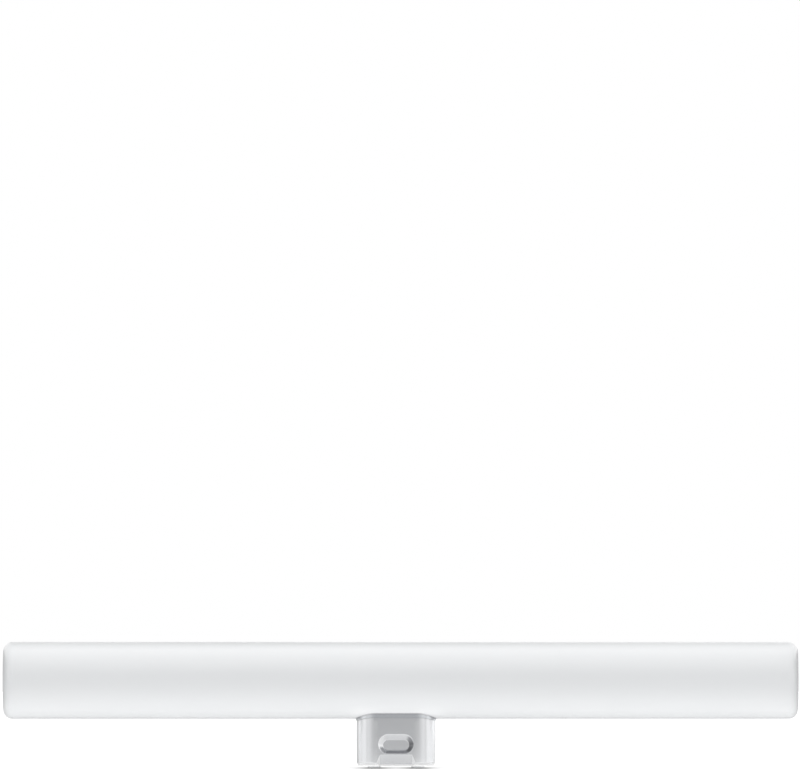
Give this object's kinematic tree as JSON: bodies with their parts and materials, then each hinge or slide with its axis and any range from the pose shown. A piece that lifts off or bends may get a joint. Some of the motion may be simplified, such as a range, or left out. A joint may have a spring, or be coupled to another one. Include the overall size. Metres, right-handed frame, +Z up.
{
  "type": "tubular light bulb",
  "caption": "Straight opal line lamp with a flat-sided cap under its middle that latches into a lampholder and feeds it through contact buttons.",
  "frame": {"origin": "on the cap's upright axis, level with the undersides of the contact buttons", "axes": "+X along the tube, +Y from the front flat side of the cap to the back one, +Z up from the contacts to the tube"},
  "size_m": [0.3, 0.029, 0.0476],
  "materials": {
    "opal_glass": "opal white, satin gloss",
    "cap_metal": "fine satin",
    "insulator": "pale moulded insulating plastic",
    "contact_metal": "bright nickel plate"
  },
  "bodies": {
    "root": {"opal_tube": "opal_glass", "cap_shell": "cap_metal", "contact_plate": "insulator", "contact_left": "contact_metal", "contact_right": "contact_metal"}
  },
  "joints": []
}
